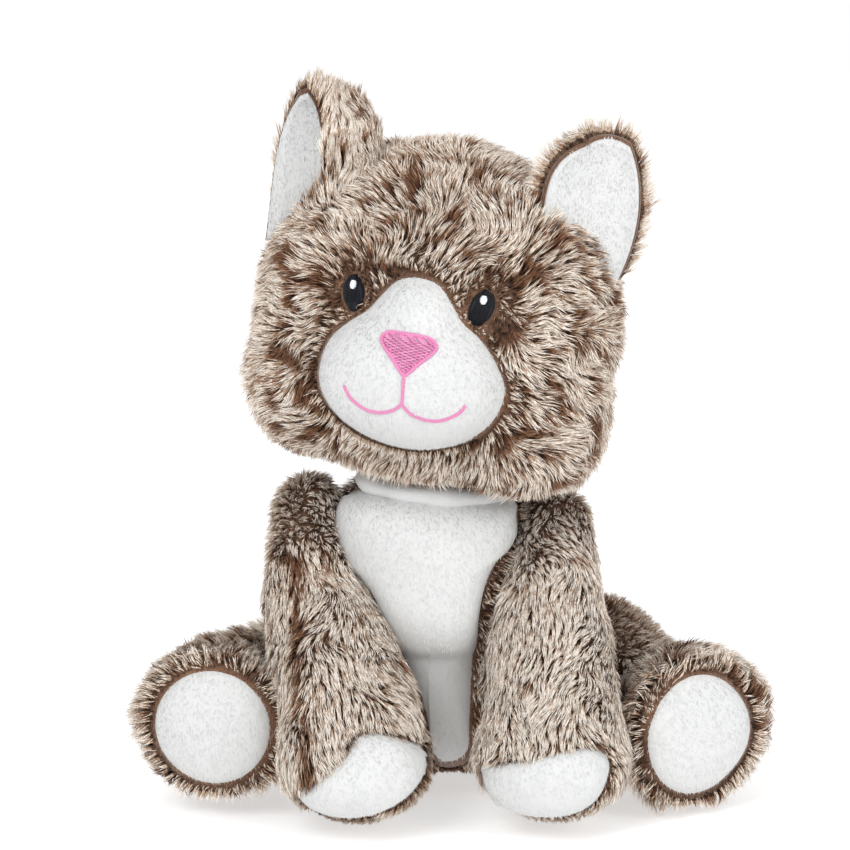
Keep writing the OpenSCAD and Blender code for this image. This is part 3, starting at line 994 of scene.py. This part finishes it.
def leg_fur(side, name):
    hip = np.array(LEGS[side][0][0], float)
    along = unit(SOLE_AT[side] - hip)
    plot, rim = sole_plots[side], sole_rims[side]
    across = np.array((along[1], -along[0], 0))
    sole_side = (SOLE_AT[side] * (1.2, 1, 1) - hip) @ across > 0

    def flow(p, n):
        """Toward the foot, and out from the sole round its rim."""
        away = p - plot.o
        away = unit(away - plot.n * (away @ plot.n)[:, None])
        near = np.exp(-(((p - plot.o) @ plot.n + 3) / 6) ** 2)[:, None]
        return (along + np.array((0, 0, -0.35))) * (1 - near) + away * near

    def keep(p, n):
        off_hip = np.clip((np.linalg.norm(p - hip, axis=1) - 18) / 14, 0, 1)
        return shorten(plot.distance(rim, p, n, SOLE_DEEP), -0.6, 4) * worn_under(n) * (0.4 + 0.6 * off_hip)

    def outer(p, n):
        return ((p - hip) @ across > 0) == sole_side

    grown = grow(leg_forms[side], 30000, 40 + side, flow, keep, length=8.5,
                 tone=rim_tone(plot, rim, -0.3, 4, SOLE_DEEP))
    pile_of(f"{name}_leg_outer", grown, outer)
    pile_of(f"{name}_leg_inner", grown, lambda p, n: ~outer(p, n))


def ear_fur(side, name):
    spine = ear_grid(side, 0.01, 1.0)[0][:, EAR_ACROSS // 2]

    def flow(p, n):
        """Up, and out to both edges."""
        middle = np.stack([np.interp(p[:, 2], spine[:, 2], spine[:, k]) for k in range(2)] + [p[:, 2]], -1)
        way = (p - middle) * 0.07
        if side < 0:
            way *= np.where(way @ (-1, 0.4, 0) > 0, 0.1, 1)[:, None]
        return way + np.array((0, 0, 0.75))

    grown = grow(ear_outside(side), 11000, 50 + side, flow, everywhere, length=7.5, rise=0.45, swirl=0.5)
    pile_of(f"{name}_ear_back", grown, everywhere)


for side, name in SIDES.items():
    arm_fur(side, name)
    leg_fur(side, name)
    ear_fur(side, name)

tail_grown = grow(tail_form, 10000, 60, toward(*unit(TAIL_END - TAIL_ROOT)), everywhere, length=8)
pile_of("tail_upper", tail_grown, lambda p, n: p[:, 2] > TAIL_SEAM_Z)
pile_of("tail_under", tail_grown, lambda p, n: p[:, 2] <= TAIL_SEAM_Z)

# ---------------------------------------------------------------- short white pile

naps = {}
NAP_DENSITY = 1.1
for i, (name, o) in enumerate(white.items()):
    naps[name] = nap(f"{name}_nap", o, NAP_DENSITY, 70 + i, toward(0.1, 0, -1))
for side, name in SIDES.items():
    naps[f"{name}_ear"] = nap(f"{name}_ear_nap", ears[side][1], NAP_DENSITY, 80 + side, toward(0, 0, 1))

# ---------------------------------------------------------------- embroidery

muzzle_form = form_of(white["muzzle"])
NOSE_OUTLINE = spline((
    (-9.4, -2.2), (-7, 0.3), (-3, 0.9), (1, 1.0), (5.5, 0.8), (9.6, -0.2), (11.9, -2.8),
    (10.8, -5.6), (7, -9.8), (4, -13.2), (2, -14.6), (0, -13.2), (-3.6, -9.4), (-8, -5.2)), 110)
NOSE_MIDDLE = NOSE_OUTLINE.mean(0)
MOUTH = (
    ((2, -14.4), (2.4, -19), (2.6, -24.5)),
    ((2.6, -24.3), (-0.5, -27), (-5, -28.6), (-10, -28.6), (-15, -26.6), (-18, -24), (-19.6, -21.6)),
    ((2.6, -24.3), (5.6, -27), (10, -28.6), (15, -28.8), (19.5, -27), (22.5, -24.6), (24, -22)),
)


def curve(points, step):
    """Even steps along a smooth open line, with the direction at each."""
    p = np.asarray(points, float)
    p = np.vstack([2 * p[0] - p[1], p, 2 * p[-1] - p[-2]])
    line = [between(*four, t) for four in zip(p, p[1:], p[2:], p[3:])
            for t in np.linspace(0, 1, 12, endpoint=False)]
    line = np.array(line + [p[-2]])
    along = np.concatenate([[0], np.cumsum(np.linalg.norm(np.diff(line, axis=0), axis=1))])
    want = np.arange(0, along[-1], step)
    at = np.stack([np.interp(want, along, line[:, i]) for i in (0, 1)], -1)
    return at, unit(np.gradient(at, axis=0))


ends = []
ROW, STITCH = 0.5, 3.2
for i, y in enumerate(np.arange(-14, 2.6, ROW)):
    xs = np.arange(-10, 12.5, 0.25)
    inside_row = outside(NOSE_OUTLINE, np.stack([xs, np.full(len(xs), y)], -1)) < -0.9
    if not inside_row.any():
        continue
    left, right = xs[inside_row][0], xs[inside_row][-1]
    x = left - (i % 3) * STITCH / 3
    while x < right:
        a, b = max(x, left), min(x + STITCH, right)
        if b - a > 0.5:
            ends.append(((a, y), (b - 0.1, y)))
        x += STITCH
for rim_point in NOSE_OUTLINE:
    inward = unit(NOSE_MIDDLE - rim_point)
    ends.append((tuple(rim_point), tuple(rim_point + inward * 1.7)))
nose = stitches("nose_stitches", muzzle_form, FACE, ends, PINK, 0.3, 0.75)
ends = []
for points in MOUTH:
    at, along = curve(points, 0.42)
    aside = np.stack([-along[:, 1], along[:, 0]], -1)
    slant = along * 0.25
    ends += [(tuple(p - s * 0.62 - t), tuple(p + s * 0.62 + t)) for p, s, t in zip(at, aside, slant)]
mouth = stitches("mouth_stitches", muzzle_form, FACE, ends, PINK, 0.25, 0.6)

EYE_HALF = {-1: 4.9, 1: 5.5}
eye_pieces, eye_pads, glint_pieces = {}, {}, {}
for side, name in SIDES.items():
    cx, cz = EYES[side]
    lean = math.radians(12 * side)

    def leaning(u, v):
        """A place on the face from its place along the eye's own width and height."""
        return (cx + u * math.cos(lean) + v * math.sin(lean), cz - u * math.sin(lean) + v * math.cos(lean))

    around = [leaning(4.5 * math.cos(t), 6.5 * math.sin(t))
              for t in np.linspace(0, 2 * math.pi, 24, endpoint=False)]
    pad, _ = panel(f"{name}_eye_padding", head_form, FACE, around, 1.5, thick=1.0, rings=8, tuck=0.6)
    pad.data.materials.clear()
    pad.data.materials.append(BLACK[0])
    eye_pads[side] = pad
    eye_form = form_of(pad)
    ends = []
    for y in np.arange(-6.9, 6.95, 0.4):
        half = EYE_HALF[side] * math.sqrt(max(0.0, 1 - (y / 7.1) ** 2))
        ends.append((leaning(-half, y), leaning(half, y)))
    for t in np.linspace(0, 2 * math.pi, 64, endpoint=False):
        ends.append(tuple(leaning(s * 5.0 * math.cos(t), s * 7.0 * math.sin(t)) for s in (0.84, 1.1)))
    eye_pieces[side] = stitches(f"{name}_eye_stitches", eye_form, FACE, ends, BLACK, 0.32, 0.4)
    ends = []
    for y in np.arange(-1.3, 1.35, 0.4):
        half = 1.7 * math.sqrt(max(0.0, 1 - (y / 1.6) ** 2))
        ends.append(((cx + side * 0.3 - half, cz + 2.9 + y), (cx + side * 0.3 + half, cz + 2.9 + y)))
    glint_pieces[side] = stitches(f"{name}_eye_glint_stitches", eye_form, FACE, ends, GLINT, 0.26, 1.0)

# ---------------------------------------------------------------- inside, label and neck

def filling(name, skin, depth=2.0):
    """The stuffing inside a skin, a little smaller than it."""
    o = skin.copy()
    o.data = skin.data.copy()
    o.name = name
    bpy.context.scene.collection.objects.link(o)
    thin = o.modifiers.new("thin", "DECIMATE")
    thin.ratio = 0.3
    inward = o.modifiers.new("inward", "DISPLACE")
    inward.strength = -depth * MM
    inward.mid_level = 0
    settle(o)
    o.data.materials.clear()
    o.data.materials.append(FIBRE)
    return o


ROLL_R, ROLL_THICK, ROLL_STEPS, ROLL_ROUND = 24, 4.6, 49, 16
roll = []
for k in range(ROLL_STEPS):
    a = math.radians(-105 + 210 * k / (ROLL_STEPS - 1))
    middle = np.array((-5 + ROLL_R * math.sin(a) * 1.12, -9 - ROLL_R * math.cos(a),
                       120.5 - 1.5 * math.cos(a) - 2.2 * math.sin(a)))
    outward = unit(np.array((math.sin(a), -math.cos(a), 0)))
    thick = ROLL_THICK * (1 + 0.08 * math.sin(5 * a + 1) + 0.06 * math.sin(11 * a))
    thick *= max(0.12, 1 - (2 * k / (ROLL_STEPS - 1) - 1) ** 6)
    for j in range(ROLL_ROUND):
        b = 2 * math.pi * j / ROLL_ROUND
        roll.append(middle + thick * (outward * math.cos(b) + np.array((0, 0, 0.85)) * math.sin(b)))
w = ROLL_ROUND
faces = [(k * w + j, k * w + (j + 1) % w, (k + 1) * w + (j + 1) % w, (k + 1) * w + j)
         for k in range(ROLL_STEPS - 1) for j in range(w)]
faces += [tuple(range(w))[::-1], tuple(range(len(roll) - w, len(roll)))]
neck_roll = mesh_object("neck_roll", np.array(roll), faces, [WHITE])
neck_roll_nap = nap("neck_roll_nap", neck_roll, NAP_DENSITY, 90, toward(0, 0, -1))

low, high = (np.array(c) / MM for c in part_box("care_label"))
label_mid = (low + high) / 2 - SHIFT
LABEL_WIDE, LABEL_HIGH, LABEL_THICK, LABEL_OUT, LABEL_CURL = 8.8, 14, 0.35, 5.0, 1.2
label_turn = turn_matrix("z", 26)
across, down = np.meshgrid(np.linspace(-0.5, 0.5, 3) * LABEL_WIDE, np.linspace(-0.5, 0.5, 9) * LABEL_HIGH)
stand = LABEL_OUT + LABEL_CURL * (0.5 - down / LABEL_HIGH) ** 2
low_side, top_side = (np.stack([across, stand + layer, down], -1) @ label_turn.T + label_mid
                      for layer in (0, LABEL_THICK))
care_label = sheet("care_label_ribbon", top_side, low_side, RIBBON)

# ---------------------------------------------------------------- what moves with what

def bind(o, body, slot, *stands_for, fill=None):
    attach(o, body)
    if stands_for:
        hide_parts(*stands_for)


bind(head_skin, "head", "frosted_fur", fill=0.95)
bind(filling("head_filling", head_skin), "head", "polyester_fibre", "head_stuffing")
for node in ("head_face_right", "head_face_left", "head_back"):
    bind(fur[node], "head", "frosted_fur", node)
bind(white["muzzle"], "head", "white_plush", "muzzle_panel", fill=0.9)
bind(naps["muzzle"], "head", "white_plush")
bind(nose, "head", "pink_thread", "nose_embroidery")
bind(mouth, "head", "pink_thread", "mouth_embroidery")

bind(torso_skin, "torso", "frosted_fur", fill=0.85)
bind(filling("torso_filling", torso_skin), "torso", "polyester_fibre", "torso_stuffing")
for node in ("torso_right_side", "torso_left_side", "seat_panel"):
    bind(fur[node], "torso", "frosted_fur", node)
bind(white["belly"], "torso", "white_plush", "belly_panel", fill=0.8)
bind(naps["belly"], "torso", "white_plush")
bind(neck_roll, "torso", "white_plush", fill=0.7)
bind(neck_roll_nap, "torso", "white_plush")
bind(care_label, "torso", "label_ribbon", "care_label")

for side, name in SIDES.items():
    bind(eye_pieces[side], "head", "black_thread", f"{name}_eye")
    bind(eye_pads[side], "head", "black_thread")
    bind(glint_pieces[side], "head", "white_thread", f"{name}_eye_glint")
    body = f"{name}_ear"
    back, lining = ears[side]
    bind(back, body, "frosted_fur")
    bind(fur[f"{name}_ear_back"], body, "frosted_fur", f"{name}_ear_back")
    bind(lining, body, "white_plush", f"{name}_ear_lining")
    bind(naps[f"{name}_ear"], body, "white_plush")
    for body, skin, tip, node in ((f"{name}_arm", arm_skins[side], f"{name}_toe", f"{name}_toe_panel"),
                                  (f"{name}_leg", leg_skins[side], f"{name}_sole", f"{name}_sole")):
        bind(skin, body, "frosted_fur", fill=0.85)
        bind(filling(f"{body}_filling", skin), body, "polyester_fibre", f"{body}_stuffing")
        bind(fur[f"{body}_outer"], body, "frosted_fur", f"{body}_outer")
        bind(fur[f"{body}_inner"], body, "frosted_fur", f"{body}_inner")
        bind(white[tip], body, "white_plush", node, fill=0.85)
        bind(naps[tip], body, "white_plush")

bind(tail_skin, "tail", "frosted_fur", fill=0.8)
bind(filling("tail_filling", tail_skin, 1.2), "tail", "polyester_fibre", "tail_stuffing")
bind(fur["tail_upper"], "tail", "frosted_fur", "tail_upper")
bind(fur["tail_under"], "tail", "frosted_fur", "tail_under")

for node, material in (("neck_stuffing", FIBRE), ("bean_pouch", POUCH)):
    o = frame["nodes"][node]
    o.data.materials.clear()
    o.data.materials.append(material)

# ---------------------------------------------------------------- floor, light and camera

bpy.ops.mesh.primitive_plane_add(size=60, location=(0, 20, 0))
floor = bpy.context.object
floor.name = "floor"
floor_paint = bpy.data.materials.new("floor_paint")
floor_paint.use_nodes = True
# A floor that glows a little keeps the ground white behind a soft shadow.
for key, value in (("Base Color", (0.7, 0.7, 0.7, 1)), ("Emission Color", (1, 1, 1, 1)),
                   ("Emission Strength", 0.545), ("Roughness", 1), ("Specular IOR Level", 0)):
    floor_paint.node_tree.nodes["Principled BSDF"].inputs[key].default_value = value
floor.data.materials.append(floor_paint)

world = bpy.data.worlds.new("studio")
world.use_nodes = True
world.node_tree.nodes["Background"].inputs["Color"].default_value = (1, 1, 1, 1)
world.node_tree.nodes["Background"].inputs["Strength"].default_value = 0.64
bpy.context.scene.world = world


def lamp(name, place, aim, size, power):
    data = bpy.data.lights.new(name, "AREA")
    data.size = size
    data.energy = power
    o = bpy.data.objects.new(name, data)
    o.location = place
    o.rotation_euler = (Vector(aim) - Vector(place)).to_track_quat("-Z", "Y").to_euler()
    bpy.context.scene.collection.objects.link(o)


BODY_MIDDLE = (0, 0, 0.13)
lamp("key", (-1.2, -2.2, 2.0), BODY_MIDDLE, 1.4, 42)
lamp("fill", (2.0, -1.8, 1.2), BODY_MIDDLE, 1.6, 30)

VIEW_UP, VIEW_FAR = 9, 1400
VIEW_WIDE, FRAME_MM = 320.45, 36
AIM = np.array((-8.9, 0, 140.6))
up = math.radians(VIEW_UP)
at = (AIM + SHIFT - VIEW_FAR * np.array((0, math.cos(up), -math.sin(up)))) * MM
lens = bpy.data.cameras.new("camera")
lens.sensor_width = FRAME_MM
lens.lens = VIEW_FAR / VIEW_WIDE * FRAME_MM
camera = bpy.data.objects.new("camera", lens)
camera.location = at
camera.rotation_euler = (math.radians(90 - VIEW_UP), 0, 0)
bpy.context.scene.collection.objects.link(camera)
bpy.context.scene.camera = camera
bpy.context.scene.view_settings.view_transform = "Standard"
